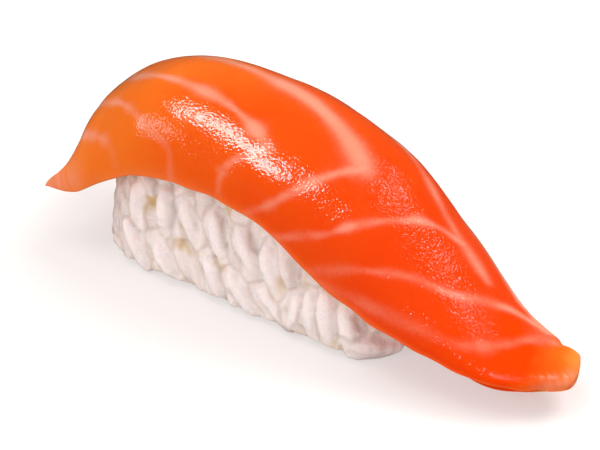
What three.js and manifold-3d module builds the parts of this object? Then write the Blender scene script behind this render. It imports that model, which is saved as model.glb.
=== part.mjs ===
// Salmon nigiri: a slice of raw salmon draped over a pressed block of sushi rice.
//
// Millimetres, +Z up. The rice rests on z = 0. +X runs along the piece towards the blunt end of
// the slice, and -Y is its near side. The origin is under the middle of the whole piece's box.

import * as THREE from 'three';
import { mergeVertices } from 'three/addons/utils/BufferGeometryUtils.js';
import Module from 'manifold-3d';

// The slice's outer skin, as stations from the thin pointed end to the blunt end. Each has its
// near edge, its far edge and the height of its crest. These x and y are measured from a point
// near the middle of the rice, and the whole piece is centred at the end.
const STATIONS = [
  { near: [-27.4, -13.0, 7.8], far: [-35.4, 9.0, 5.8], crest: 14.0 },
  { near: [-24.8, -13.3, 10.2], far: [-28.5, 12.0, 10.5], crest: 21.7 },
  { near: [-14.6, -13.3, 16.9], far: [-18.0, 13.2, 15.6], crest: 28.0 },
  { near: [-3.6, -13.4, 19.0], far: [-4.9, 13.5, 18.6], crest: 28.7 },
  { near: [7.8, -13.5, 17.9], far: [5.9, 13.4, 18.6], crest: 26.6 },
  { near: [18.7, -13.2, 11.7], far: [16.8, 12.8, 14.6], crest: 22.2 },
  { near: [29.7, -12.6, 8.0], far: [27.3, 10.6, 10.0], crest: 14.8 },
  { near: [40.6, -11.0, 5.5], far: [37.5, 7.2, 5.2], crest: 8.2 },
  { near: [46.7, -8.3, 4.7], far: [44.8, 4.5, 4.2], crest: 6.5 },
  { near: [51.2, -4.6, 4.2], far: [47.8, 2.8, 4.0], crest: 6.5 },
];
const SHOULDER_POWER = 2.3; // how squarely the slice turns down over the rice's long edges
const SLICE_LENGTH = 95; // along the curved skin
const SLICE_HALF_WIDTH = 20; // from crest to edge, along the skin

// Thickness of the slice, and how far in from each edge it grows to its full value.
const THICKNESS = { middle: 5.2, sides: 1.8, thinEnd: 1.6, bluntEnd: 3.6 };
const TAPER = { sides: 9, thinEnd: 14, bluntEnd: 25 };
const SKIN_EDGE_RADIUS = 0.5; // rounding of the upper edge all round the slice

// The small lip drawn out of the near corner at the thin end.
const LIP = { reach: 4.0, lift: 0.6, across: 0.16, along: 0.035 };
// The blunt end swells out between its corners.
const NOSE = { reach: 2.0, along: 0.06 };

// The rice: a rounded block, pressed by hand, whose grains stand proud of its walls.
const RICE = { length: 54, width: 25.6, corner: 10, height: 32, forward: 1.4 };
const FOOT = { height: 2.4, inset: 0.7 }; // the wall rounds in to the floor
const TUCK = { height: 24, inset: 1.9 }; // and draws in under the slice
const GRAIN = { halfLength: 3.6, halfWidth: 1.75, proud: 1.1 };
const GRAIN_PITCH = { round: 3.7, up: 5.6 };
const GRAIN_LEAN = 0.7; // radians, the most that a grain leans from upright

const GAP = 0.35; // between the slice and the rice
const CUT_TOP = 60; // above everything

// Facets along and across the slice, in the cut made by it, and around and up the rice.
const SLICE_GRID = { along: 56, across: 22 };
const CUT_GRID = { along: 44, across: 18 };
const RICE_GRID = { round: 112, up: 17, cap: 4 };
const EDGE_CROWDING = { along: 0.8, across: 0.75 }; // 1 would draw the outer rows onto the edge

const WELD = 1e-3;

const lerp = THREE.MathUtils.lerp;
const clamp = THREE.MathUtils.clamp;
const smooth = (distance, length) => THREE.MathUtils.smoothstep(distance, 0, length);

// A smooth value through evenly spaced table entries, at a fraction of the way along them.
function throughTable(table, fraction) {
  const place = clamp(fraction, 0, 1) * (table.length - 1);
  const i = Math.min(Math.floor(place), table.length - 2);
  const w = place - i;
  const [a, b] = [table[i], table[i + 1]];
  const before = i > 0 ? table[i - 1] : 2 * a - b;
  const after = i + 2 < table.length ? table[i + 2] : 2 * b - a;
  const cubic = -before + 3 * a - 3 * b + after;
  const square = 2 * before - 5 * a + 4 * b - after;
  return 0.5 * (2 * a + (b - before) * w + square * w ** 2 + cubic * w ** 3);
}

const EDGE_TABLES = ['near', 'far'].map((side) => (
  [0, 1, 2].map((axis) => STATIONS.map((station) => station[side][axis]))
));
const CREST_TABLE = STATIONS.map((station) => station.crest);

// The slice's outer skin: u runs 0..1 along it and v runs -1..1 from its near to its far edge.
function skinPoint(u, v) {
  const angle = v * Math.PI / 2;
  const reach = Math.sign(v) * Math.abs(Math.sin(angle)) ** (2 / SHOULDER_POWER);
  const [near, far] = EDGE_TABLES.map((side) => side.map((table) => throughTable(table, u)));
  const across = (1 + reach) / 2;
  const rise = throughTable(CREST_TABLE, u) - (near[2] + far[2]) / 2;
  const lip = Math.exp(-(((v + 1) / LIP.across) ** 2) - (u / LIP.along) ** 2);
  const nose = Math.exp(-(((1 - u) / NOSE.along) ** 2)) * (1 - v * v);
  return new THREE.Vector3(
    lerp(near[0], far[0], across) - LIP.reach * lip + NOSE.reach * nose,
    lerp(near[1], far[1], across),
    lerp(near[2], far[2], across) + rise * Math.cos(angle) + LIP.lift * lip,
  );
}

function skinNormal(u, v) {
  const step = 1e-3;
  const inner = clamp(v, -1 + 2 * step, 1 - 2 * step);
  const along = skinPoint(Math.min(u + step, 1), v).sub(skinPoint(Math.max(u - step, 0), v));
  const across = skinPoint(u, inner + step).sub(skinPoint(u, inner - step));
  return along.cross(across).normalize();
}

function thicknessAt(u, v) {
  const fromSide = (1 - Math.abs(v)) * SLICE_HALF_WIDTH;
  let thickness = lerp(THICKNESS.sides, THICKNESS.middle, smooth(fromSide, TAPER.sides));
  thickness = lerp(THICKNESS.thinEnd, thickness, smooth(u * SLICE_LENGTH, TAPER.thinEnd));
  return lerp(THICKNESS.bluntEnd, thickness, smooth((1 - u) * SLICE_LENGTH, TAPER.bluntEnd));
}

// A quarter circle's rise: 0 on the edge, and 1 once the distance reaches the radius.
const quarterRound = (distance, radius) => Math.sqrt(1 - (1 - clamp(distance / radius, 0, 1)) ** 2);

// A point on the slice's upper face, its lower face, and the lower face dropped by the gap.
function slicePoints(u, v) {
  const skin = skinPoint(u, v);
  const inward = skinNormal(u, v).negate();
  const fromEnd = Math.min(u, 1 - u) * SLICE_LENGTH;
  const fromSide = (1 - Math.abs(v)) * SLICE_HALF_WIDTH;
  const upperRound = quarterRound(Math.min(fromEnd, fromSide), SKIN_EDGE_RADIUS);
  const depth = thicknessAt(u, v) - SKIN_EDGE_RADIUS;
  const lowerRound = quarterRound(fromEnd, depth) * quarterRound(fromSide, depth);
  const at = (distance) => skin.clone().addScaledVector(inward, distance);
  const dropped = at(SKIN_EDGE_RADIUS + depth * lowerRound + GAP);
  dropped.z -= GAP * (1 - lowerRound);
  return {
    upper: at(SKIN_EDGE_RADIUS * (1 - upperRound)),
    lower: at(SKIN_EDGE_RADIUS + depth * lowerRound),
    dropped,
  };
}

// A fraction 0..1 for each of count steps, closer together towards both ends.
function crowdedFractions(count, crowding) {
  return Array.from({ length: count + 1 }, (_, i) => {
    const t = i / count;
    return t - crowding * Math.sin(2 * Math.PI * t) / (2 * Math.PI);
  });
}

function sliceGrid(grid) {
  const along = crowdedFractions(grid.along, EDGE_CROWDING.along);
  const across = crowdedFractions(grid.across, EDGE_CROWDING.across);
  return along.map((u) => across.map((w) => slicePoints(u, 2 * w - 1)));
}

// Collects faces by their corner points, and welds them into one closed geometry.
class FaceList {
  constructor() {
    this.coordinates = [];
  }

  triangle(a, b, c) {
    [a, b, c].forEach((point) => this.coordinates.push(point.x, point.y, point.z));
  }

  quad(a, b, c, d) {
    this.triangle(a, b, c);
    this.triangle(a, c, d);
  }

  weld() {
    const loose = new THREE.BufferGeometry();
    loose.setAttribute('position', new THREE.Float32BufferAttribute(this.coordinates, 3));
    const welded = mergeVertices(loose, WELD);
    const corners = Array.from(welded.index.array);
    const kept = [];
    for (let i = 0; i < corners.length; i += 3) {
      const [a, b, c] = corners.slice(i, i + 3);
      if (a !== b && b !== c && c !== a) {
        kept.push(a, b, c);
      }
    }
    welded.setIndex(kept);
    return welded;
  }
}

// The closed solid between two grids of points, with walls all round their borders.
function solidBetween(upper, lower) {
  const faces = new FaceList();
  const rows = upper.length - 1;
  const columns = upper[0].length - 1;
  for (let i = 0; i < rows; i += 1) {
    for (let j = 0; j < columns; j += 1) {
      faces.quad(upper[i][j], upper[i + 1][j], upper[i + 1][j + 1], upper[i][j + 1]);
      faces.quad(lower[i][j], lower[i][j + 1], lower[i + 1][j + 1], lower[i + 1][j]);
    }
    faces.quad(lower[i][0], lower[i + 1][0], upper[i + 1][0], upper[i][0]);
    faces.quad(lower[i + 1][columns], lower[i][columns], upper[i][columns], upper[i + 1][columns]);
  }
  for (let j = 0; j < columns; j += 1) {
    faces.quad(lower[0][j + 1], lower[0][j], upper[0][j], upper[0][j + 1]);
    faces.quad(lower[rows][j], lower[rows][j + 1], upper[rows][j + 1], upper[rows][j]);
  }
  return faces.weld();
}

function sliceGeometry() {
  const grid = sliceGrid(SLICE_GRID);
  const layer = (name) => grid.map((row) => row.map((points) => points[name]));
  return solidBetween(layer('upper'), layer('lower'));
}

// Everything from just under the slice upwards, which is cut off the rice.
function overRiceGeometry() {
  const floor = sliceGrid(CUT_GRID).map((row) => row.map((points) => points.dropped));
  const roof = floor.map((row) => row.map((point) => point.clone().setZ(CUT_TOP)));
  return solidBetween(roof, floor);
}

// The rice's outline seen from above, at a distance along it, with the way that faces out.
const RICE_SIDE = RICE.length - 2 * RICE.corner;
const RICE_END = RICE.width - 2 * RICE.corner;
const RICE_ARC = RICE.corner * Math.PI / 2;
const RICE_PERIMETER = 2 * (RICE_SIDE + RICE_END) + 4 * RICE_ARC;

function riceOutline(distance) {
  let left = distance;
  let turn = 0;
  const corner = new THREE.Vector2(RICE.forward + RICE_SIDE / 2, -RICE_END / 2);
  for (const straight of [RICE_END, RICE_SIDE, RICE_END, RICE_SIDE]) {
    const ahead = new THREE.Vector2(-Math.sin(turn), Math.cos(turn));
    const walked = Math.min(left, straight);
    corner.addScaledVector(ahead, walked);
    left -= walked;
    const arc = Math.min(left, RICE_ARC);
    turn += arc / RICE.corner;
    left -= arc;
    if (left <= 0) {
      break;
    }
  }
  const out = new THREE.Vector2(Math.cos(turn), Math.sin(turn));
  return { point: corner.addScaledVector(out, RICE.corner), out };
}

// A repeatable number from -1 to 1 for a pair of whole numbers.
function scatter(a, b) {
  const wave = Math.sin(a * 127.1 + b * 311.7) * 43758.5453;
  return 2 * (wave - Math.floor(wave)) - 1;
}

// How far the grains stand out of the rice's wall, at a distance round it and a height.
const GRAINS_ROUND = Math.round(RICE_PERIMETER / GRAIN_PITCH.round);

function grainRelief(distance, height) {
  const column = Math.round(distance / RICE_PERIMETER * GRAINS_ROUND);
  const row = Math.round(height / GRAIN_PITCH.up - 0.5);
  let relief = 0;
  for (let i = column - 2; i <= column + 2; i += 1) {
    const seed = (i + GRAINS_ROUND) % GRAINS_ROUND;
    for (let j = row - 1; j <= row + 1; j += 1) {
      const lean = GRAIN_LEAN * scatter(seed, j);
      const shift = seed % 2 ? 0.25 : -0.25;
      const x = distance - (i + 0.3 * scatter(j, seed + 7)) * RICE_PERIMETER / GRAINS_ROUND;
      const y = height - (j + 0.5 + shift + 0.2 * scatter(seed + 3, j)) * GRAIN_PITCH.up;
      const along = (y * Math.cos(lean) + x * Math.sin(lean)) / GRAIN.halfLength;
      const aside = (x * Math.cos(lean) - y * Math.sin(lean)) / GRAIN.halfWidth;
      relief = Math.max(relief, 1 - along ** 2 - aside ** 2);
    }
  }
  return GRAIN.proud * Math.sqrt(relief);
}

function ricePoint(distance, height) {
  const { point, out } = riceOutline(distance);
  const inset = FOOT.inset * (1 - quarterRound(height, FOOT.height))
    + TUCK.inset * smooth(height, TUCK.height);
  const proud = height > 0 ? grainRelief(distance, height) : 0;
  point.addScaledVector(out, proud - GRAIN.proud - inset);
  return new THREE.Vector3(point.x, point.y, height);
}

function riceBlockGeometry() {
  const faces = new FaceList();
  const { round, up, cap } = RICE_GRID;
  const rings = [];
  for (let j = 0; j <= up; j += 1) {
    const ring = [];
    for (let i = 0; i < round; i += 1) {
      ring.push(ricePoint(i / round * RICE_PERIMETER, RICE.height * (j / up) ** 1.2));
    }
    rings.push(ring);
  }
  const centres = [0, RICE.height].map((height) => new THREE.Vector3(RICE.forward, 0, height));
  const caps = [rings[0], rings[up]].map((rim, end) => (
    Array.from({ length: cap }, (_, k) => rim.map((p) => p.clone().lerp(centres[end], k / cap)))
  ));
  const layers = [...caps[0].slice(1).reverse(), ...rings, ...caps[1].slice(1)];
  for (let i = 0; i < round; i += 1) {
    const next = (i + 1) % round;
    for (let j = 0; j + 1 < layers.length; j += 1) {
      faces.quad(layers[j][i], layers[j][next], layers[j + 1][next], layers[j + 1][i]);
    }
    faces.triangle(centres[0], layers[0][next], layers[0][i]);
    faces.triangle(centres[1], layers.at(-1)[i], layers.at(-1)[next]);
  }
  return faces.weld();
}

const wasm = await Module();
wasm.setup();

function toManifold(geometry) {
  return new wasm.Manifold(new wasm.Mesh({
    numProp: 3,
    vertProperties: Float32Array.from(geometry.attributes.position.array),
    triVerts: Uint32Array.from(geometry.index.array),
  }));
}

function fromManifold(solid) {
  const mesh = solid.getMesh();
  const geometry = new THREE.BufferGeometry();
  geometry.setAttribute('position', new THREE.BufferAttribute(mesh.vertProperties, 3));
  geometry.setIndex(new THREE.BufferAttribute(mesh.triVerts, 1));
  return geometry;
}

function riceGeometry() {
  return fromManifold(toManifold(riceBlockGeometry()).subtract(toManifold(overRiceGeometry())));
}

function namedMesh(name, geometry, finish) {
  const mesh = new THREE.Mesh(geometry, new THREE.MeshStandardMaterial(finish));
  mesh.name = name;
  return mesh;
}

const nigiri = new THREE.Group();
nigiri.add(namedMesh('salmon_slice', sliceGeometry(), {
  color: 0xf5642a,
  roughness: 0.35,
  metalness: 0,
}));
nigiri.add(namedMesh('rice_block', riceGeometry(), {
  color: 0xe9dfd3,
  roughness: 0.5,
  metalness: 0,
}));

// Slide the piece along the floor until the origin is under the middle of its box.
const middle = new THREE.Box3().setFromObject(nigiri).getCenter(new THREE.Vector3());
nigiri.position.set(-middle.x, -middle.y, 0);

export default nigiri;
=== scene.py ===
"""Salmon nigiri: a moist slice of raw salmon draped over a hand-pressed block of sushi rice.

The slice is one closed skin laid over the rice, with pale fat seams between its muscle blocks. The
rice is several hundred cooked grains pressed round a smaller core. Shapes are worked out in
millimetres and made in metres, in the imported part's own frame.
"""

import logging
import math
from collections.abc import Callable
from dataclasses import dataclass
from enum import Enum
from functools import partial

import bmesh
import bpy
import numpy as np
from mathutils import Matrix, Vector, noise
from mathutils.bvhtree import BVHTree
from mathutils.kdtree import KDTree


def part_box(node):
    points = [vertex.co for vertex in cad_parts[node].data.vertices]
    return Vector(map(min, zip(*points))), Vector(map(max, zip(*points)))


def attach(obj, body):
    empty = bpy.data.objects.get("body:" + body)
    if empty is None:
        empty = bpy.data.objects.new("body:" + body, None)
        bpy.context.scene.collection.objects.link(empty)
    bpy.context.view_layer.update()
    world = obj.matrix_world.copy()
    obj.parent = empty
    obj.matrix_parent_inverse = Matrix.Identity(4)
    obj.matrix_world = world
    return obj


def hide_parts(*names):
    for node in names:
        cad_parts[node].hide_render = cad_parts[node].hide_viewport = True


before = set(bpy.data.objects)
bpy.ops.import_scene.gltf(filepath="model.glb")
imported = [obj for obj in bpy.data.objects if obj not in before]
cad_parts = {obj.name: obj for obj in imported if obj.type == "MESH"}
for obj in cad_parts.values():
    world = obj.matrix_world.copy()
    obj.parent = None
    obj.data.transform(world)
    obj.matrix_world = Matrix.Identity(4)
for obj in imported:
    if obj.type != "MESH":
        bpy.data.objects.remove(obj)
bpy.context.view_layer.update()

MM = 0.001
TINY = 1e-6
SETTLING_BEADS = 3  # stand-in points along a grain while it settles
log = logging.getLogger("nigiri")


def linear(code: str) -> tuple[float, float, float, float]:
    """Turns an sRGB hex colour into linear light.

    Args:
        code: the colour as "#rrggbb".

    Returns:
        Red, green, blue and an alpha of 1.
    """
    shares = [int(code[i : i + 2], 16) / 255 for i in (1, 3, 5)]
    light = [s / 12.92 if s <= 0.04045 else ((s + 0.055) / 1.055) ** 2.4 for s in shares]
    return (*light, 1.0)


def add_node(
    tree: bpy.types.NodeTree, kind: str, inputs: dict | None = None, **settings
) -> bpy.types.Node:
    """Adds one node with its settings, and sets or links its inputs.

    Args:
        tree: the node tree that it goes in.
        kind: the node's type name, without its "ShaderNode".
        inputs: for each input's name or number, a socket to link, a node whose first output is
            linked, or a value to set.
        settings: the node's own properties.

    Returns:
        The new node.
    """
    node = tree.nodes.new("ShaderNode" + kind)
    for name, value in settings.items():
        setattr(node, name, value)
    for name, value in (inputs or {}).items():
        source = value.outputs[0] if isinstance(value, bpy.types.Node) else value
        if isinstance(source, bpy.types.NodeSocket):
            tree.links.new(source, node.inputs[name])
        else:
            node.inputs[name].default_value = source
    return node


def new_material(name: str) -> tuple[bpy.types.Material, Callable]:
    """Makes an empty node material.

    Args:
        name: what it is called.

    Returns:
        The material, and add_node for its node tree.
    """
    material = bpy.data.materials.new(name)
    material.use_nodes = True
    material.node_tree.nodes.clear()
    return material, partial(add_node, material.node_tree)


def mesh_of(name: str, bm: bmesh.types.BMesh) -> bpy.types.Mesh:
    """Turns a bmesh into a named mesh, and frees it."""
    mesh = bpy.data.meshes.new(name)
    bm.to_mesh(mesh)
    bm.free()
    return mesh


def finished_piece(name: str, bm: bmesh.types.BMesh, material: bpy.types.Material) -> bpy.types.Object:
    """Turns a bmesh, in metres, into a smooth-shaded object at the origin.

    Args:
        name: the piece's name.
        bm: its shape, which is freed.
        material: its finish.

    Returns:
        The new object.
    """
    mesh = mesh_of(name, bm)
    mesh.shade_smooth()
    mesh.materials.append(material)
    piece = bpy.data.objects.new(name, mesh)
    bpy.context.scene.collection.objects.link(piece)
    return piece


def skin_tree(piece: bpy.types.Object) -> BVHTree:
    """Makes a search tree of a piece's faces."""
    bm = bmesh.new()
    bm.from_mesh(piece.data)
    tree = BVHTree.FromBMesh(bm)
    bm.free()
    return tree


def point_tree(points: np.ndarray) -> KDTree:
    """Makes a search tree of points."""
    tree = KDTree(len(points))
    for i, point in enumerate(points):
        tree.insert(point, i)
    tree.balance()
    return tree


def chance_at(points: list | np.ndarray, length: float = 1.0) -> np.ndarray:
    """Gives smooth noise, about -1 to 1, that changes over a length."""
    return np.array([noise.noise(Vector(point) / length) for point in points])


def smoothstep(value: np.ndarray, length: float) -> np.ndarray:
    """Rises smoothly from 0 at nothing to 1 at a length."""
    share = np.clip(value / length, 0, 1)
    return share * share * (3 - 2 * share)


def quarter_round(distance: np.ndarray, radius: np.ndarray | float) -> np.ndarray:
    """Rises as a quarter circle from 0 on an edge to 1 once a distance reaches the radius."""
    return np.sqrt(np.clip(1 - (1 - np.clip(distance / radius, 0, 1)) ** 2, 0, 1))


def through_points(points: np.ndarray, place: np.ndarray) -> np.ndarray:
    """Follows a smooth curve through evenly spaced rows.

    Args:
        points: one row for each point that the curve passes through.
        place: fractions from 0 to 1 along it.

    Returns:
        One row for each place.
    """
    padded = np.vstack([2 * points[0] - points[1], points, 2 * points[-1] - points[-2]])
    at = np.clip(place, 0, 1) * (len(points) - 1)
    start = np.minimum(at.astype(int), len(points) - 2)
    w = (at - start)[:, None]
    a, b, c, d = (padded[start + k] for k in range(4))
    square, cube = (2 * a - 5 * b + 4 * c - d) * w**2, (3 * b - a - 3 * c + d) * w**3
    return 0.5 * (2 * b + (c - a) * w + square + cube)


# --- Finishes ---------------------------------------------------------------------------------


@dataclass(frozen=True)
class SalmonFlesh:
    """Raw farmed salmon, cut with a wet knife: orange muscle blocks parted by pale seams of fat.

    Attributes:
        muscle: the flesh's colour at places from the pointed end, 0, to the blunt end, 1.
        fat: the colour of a seam of fat.
        rim: the colour of the thin cut edge, where light comes through.
        water_ior: refractive index of the wet flesh.
        oil_ior: refractive index of the oily film on it.
        roughness: how rough the cut flesh is under the film.
        scatter_mm: how far red, green and blue light travel in it.
        scatter_share: how much of the light takes that way.
        film_roughness: how rough the film is.
        film_fades: where along the slice the film starts and stops thinning.
        dry_end_film: how much of the film is left on the blunt end.
        bead_mm: width of the beads that the film draws into.
        bead_relief_mm: their height.
        bead_detail: how much finer structure they have.
        fibre_mm: width of a muscle fibre's visible grain.
        bundle_mm: width of a bundle of fibres.
        bundle_relief_mm: how far the bundles ripple the skin.
        cloud_mm: width of the drifts of deeper and lighter colour.
        detail: how much finer structure the fibres, bundles and drifts have.
        drift: how far such a drift, or a frayed seam, moves along its colours.
        seam_edges: how much fat starts to show, and how much shows in full.
    """

    muscle: tuple = (
        (0.0, "#de7228"),
        (0.18, "#da6416"),
        (0.40, "#d84806"),
        (0.62, "#d93c02"),
        (0.86, "#d63801"),
        (0.95, "#da6016"),
        (1.0, "#e08236"),
    )
    fat: str = "#dc8a70"
    rim: str = "#da7038"
    water_ior: float = 1.34
    oil_ior: float = 1.53
    roughness: float = 0.42
    scatter_mm: tuple = (1.8, 0.35, 0.12)
    scatter_share: float = 0.35
    film_roughness: float = 0.09
    film_fades: tuple = (0.64, 0.88)
    dry_end_film: float = 0.22
    bead_mm: float = 0.36
    bead_relief_mm: float = 0.065
    bead_detail: float = 0.6
    fibre_mm: float = 0.5
    bundle_mm: float = 2.0
    bundle_relief_mm: float = 0.08
    cloud_mm: float = 9.0
    detail: float = 3.0
    drift: float = 0.24
    seam_edges: tuple = (0.08, 1.1)

    def build(self) -> bpy.types.Material:
        """Makes the material.

        Returns:
            The new material.
        """
        material, add = new_material("raw salmon flesh")
        names = ("along", "fat", "rim")
        along, fat, rim = (add("Attribute", attribute_name=name).outputs["Fac"] for name in names)
        where = add("TexCoord").outputs["Object"]
        cloud, fray, bead, bundle = (
            add("TexNoise", {"Vector": where, "Scale": 1 / (size * MM), "Detail": detail})
            for size, detail in (
                (self.cloud_mm, self.detail),
                (self.fibre_mm, self.detail),
                (self.bead_mm, self.bead_detail),
                (self.bundle_mm, self.detail),
            )
        )
        either_way = {1: self.drift, 2: -self.drift / 2}
        # Muscle drifts from orange at the thin end to deep red-orange, and is never one flat colour.
        drifted = add("Math", {0: cloud, **either_way}, operation="MULTIPLY_ADD")
        place = add("Math", {0: along, 1: drifted}, operation="ADD")
        muscle = add("ValToRGB", {"Fac": place})
        stops = muscle.color_ramp.elements
        for position, _ in self.muscle[len(stops) :]:
            stops.new(position)
        for stop, (position, code) in zip(stops, self.muscle):
            stop.position, stop.color = position, linear(code)
        # Fat lies in pale seams whose edges fray into the muscle, fibre by fibre.
        frayed = add("Math", {0: fray, **either_way}, operation="MULTIPLY_ADD")
        ragged = add("Math", {0: fat, 1: frayed}, operation="ADD")
        low, high = self.seam_edges
        seam = add(
            "MapRange", {"Value": ragged, "From Min": low, "From Max": high}, interpolation_type="SMOOTHSTEP"
        )
        seamed = add("Mix", {"Factor": seam, 6: muscle, 7: linear(self.fat)}, data_type="RGBA")
        colour = add("Mix", {"Factor": rim, 6: seamed.outputs[2], 7: linear(self.rim)}, data_type="RGBA")
        soft = add("Bump", {"Height": bundle, "Strength": 1.0, "Distance": self.bundle_relief_mm * MM})
        # The film of water and oil beads up, which breaks each highlight into pearly specks. Real beads
        # are too fine to show, so these are drawn coarser.
        wet = add(
            "Bump",
            {"Height": bead, "Strength": 1.0, "Distance": self.bead_relief_mm * MM, "Normal": soft},
        )
        # The film is thinner towards the blunt end, so that end shines less.
        first, last = self.film_fades
        film = add(
            "MapRange",
            {"Value": along, "From Min": first, "From Max": last, "To Min": 1.0, "To Max": self.dry_end_film},
            interpolation_type="SMOOTHSTEP",
        )
        # Light enters the flesh and comes out redder, so thin edges glow and the gloss is the film's alone.
        shader = add(
            "BsdfPrincipled",
            {
                "Base Color": colour.outputs[2],
                "Roughness": self.roughness,
                "IOR": self.water_ior,
                "Specular IOR Level": 0.0,
                "Normal": soft,
                "Subsurface Weight": self.scatter_share,
                "Subsurface Radius": self.scatter_mm,
                "Subsurface Scale": MM,
                "Coat Weight": film,
                "Coat Roughness": self.film_roughness,
                "Coat IOR": self.oil_ior,
                "Coat Normal": wet,
            },
        )
        add("OutputMaterial", {"Surface": shader})
        return material


@dataclass(frozen=True)
class CookedRice:
    """Steamed short-grain rice dressed with vinegar: swollen, sticky, translucent white grains.

    Attributes:
        pale: the colour of the whitest grains.
        deep: the colour of the greyest grains.
        crease_and_shade: the colour of the painted shade where two grains press together.
        gap: the colour of the painted warm shade deep between grains.
        painted_salmon_light_colour: the colour of the painted orange light from the salmon, on the rice near
            it.
        ior: refractive index of the wet starch.
        roughness: how rough a grain is under its film.
        film: how much of its film of starch water it has.
        film_roughness: how rough the film is.
        scatter_mm: how far red, green and blue light travel in a grain.
        scatter_share: how much of the light takes that way.
        swelling_mm: width of the uneven swellings of a cooked grain.
        swelling_relief_mm: their height.
        starch_mm: width of the flecks of loose starch.
        starch_relief_mm: their height.
        detail: how much finer structure the swellings and flecks have.
        fleck_tone: how far a fleck moves a grain's whiteness.
        hollows: how deep a gap starts to take painted shade, and how deep it takes it in full.
        shade_patch_mm: width of the patches in which the gaps' painted shade shows.
        shade_patch_detail: how much finer structure they have.
        shade_patch_edges: where such a patch starts, and where it is full.
        shade_patch_least: how much painted shade the gaps have elsewhere.
    """

    pale: str = "#ece0de"
    deep: str = "#dccfcd"
    crease_and_shade: str = "#cbb5a8"
    gap: str = "#cba873"
    painted_salmon_light_colour: str = "#f0b086"
    ior: float = 1.4
    roughness: float = 0.32
    film: float = 0.5
    film_roughness: float = 0.16
    scatter_mm: tuple = (1.3, 0.9, 0.7)
    scatter_share: float = 0.7
    swelling_mm: float = 0.9
    swelling_relief_mm: float = 0.12
    starch_mm: float = 0.36
    starch_relief_mm: float = 0.07
    detail: float = 2.0
    fleck_tone: float = 2.0
    hollows: tuple = (0.1, 0.36)
    shade_patch_mm: float = 5.0
    shade_patch_detail: float = 1.0
    shade_patch_edges: tuple = (0.6, 0.76)
    shade_patch_least: float = 0.1

    def build(self) -> bpy.types.Material:
        """Makes the material.

        Returns:
            The new material.
        """
        material, add = new_material("cooked sushi rice")
        names = ("tone", "crease_and_shade", "depth", "painted_salmon_light")
        tone, crease_and_shade, depth, painted_salmon_light = (add("Attribute", attribute_name=name).outputs["Fac"] for name in names)
        where = add("TexCoord").outputs["Object"]
        # Painted warm shade: the gaps deep between grains turn straw-coloured, in patches.
        start, end = self.hollows
        hollow = add(
            "MapRange", {"Value": depth, "From Min": start, "From Max": end}, interpolation_type="SMOOTHSTEP"
        )
        scale = 1 / (self.shade_patch_mm * MM)
        shade_patch = add("TexNoise", {"Vector": where, "Scale": scale, "Detail": self.shade_patch_detail})
        start, end = self.shade_patch_edges
        edges = {"From Min": start, "From Max": end, "To Min": self.shade_patch_least}
        patchy_shade = add("MapRange", {"Value": shade_patch, **edges})
        gap_shade = add("Math", {0: hollow, 1: patchy_shade}, operation="MULTIPLY")
        fleck = add("TexNoise", {"Vector": where, "Scale": 1 / (self.starch_mm * MM), "Detail": self.detail})
        either_way = {1: self.fleck_tone, 2: -self.fleck_tone / 2}
        flecked = add("Math", {0: fleck, **either_way}, operation="MULTIPLY_ADD")
        whiteness = add("Math", {0: tone, 1: flecked}, operation="ADD", use_clamp=True)
        # Grains differ a little in whiteness. Painted shade greys them where they press together and turns
        # the deep gaps straw-coloured, and painted light from the salmon turns them orange under it.
        colour = linear(self.deep)
        for share, code in (
            (whiteness, self.pale),
            (crease_and_shade, self.crease_and_shade),
            (gap_shade, self.gap),
            (painted_salmon_light, self.painted_salmon_light_colour),
        ):
            mixed = add("Mix", {"Factor": share, 6: colour, 7: linear(code)}, data_type="RGBA")
            colour = mixed.outputs[2]
        # Cooking swells a grain unevenly, and loose starch roughens it. The flecks of starch are too fine
        # to show, so they are drawn coarser.
        normal = {}
        for size, relief in (
            (self.swelling_mm, self.swelling_relief_mm),
            (self.starch_mm, self.starch_relief_mm),
        ):
            uneven = add("TexNoise", {"Vector": where, "Scale": 1 / (size * MM), "Detail": self.detail})
            bump = add("Bump", {"Height": uneven, "Strength": 1.0, "Distance": relief * MM, **normal})
            normal = {"Normal": bump}
        # Light soaks into each grain, so it looks waxy and half clear under a thin sticky gloss.
        shader = add(
            "BsdfPrincipled",
            {
                "Base Color": colour,
                "Roughness": self.roughness,
                "IOR": self.ior,
                **normal,
                "Subsurface Weight": self.scatter_share,
                "Subsurface Radius": self.scatter_mm,
                "Subsurface Scale": MM,
                "Coat Weight": self.film,
                "Coat Roughness": self.film_roughness,
            },
        )
        add("OutputMaterial", {"Surface": shader})
        return material


@dataclass(frozen=True)
class OpalTable:
    """A matt opal acrylic light table: plain and pale, and lit a little from below, which thins shadows."""

    colour: str = "#b7b0ac"
    roughness: float = 0.9
    shine: float = 0.1
    glow: float = 0.44
    white: str = "#ffffff"

    def build(self) -> bpy.types.Material:
        """Makes the material.

        Returns:
            The new material.
        """
        material, add = new_material("opal acrylic")
        # An even, almost white face with no reflection in it, so only soft shadows show.
        shader = add(
            "BsdfPrincipled",
            {
                "Base Color": linear(self.colour),
                "Roughness": self.roughness,
                "Specular IOR Level": self.shine,
                "Emission Color": linear(self.white),
                "Emission Strength": self.glow,
            },
        )
        add("OutputMaterial", {"Surface": shader})
        return material


# --- The slice of salmon ----------------------------------------------------------------------


@dataclass(frozen=True)
class Dent:
    """A soft swelling, or a hollow, in the skin.

    Attributes:
        u: where its middle is along the slice.
        v: where its middle is across it.
        long: its spread along the slice.
        wide: its spread across it.
        height: how far it stands out, in millimetres, less than 0 for a hollow.
    """

    u: float
    v: float
    long: float
    wide: float
    height: float

    def at(self, u: np.ndarray, v: np.ndarray) -> np.ndarray:
        """Gives its height at each place along and across the slice."""
        return self.height * np.exp(-(((u - self.u) / self.long) ** 2) - ((v - self.v) / self.wide) ** 2)


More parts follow.
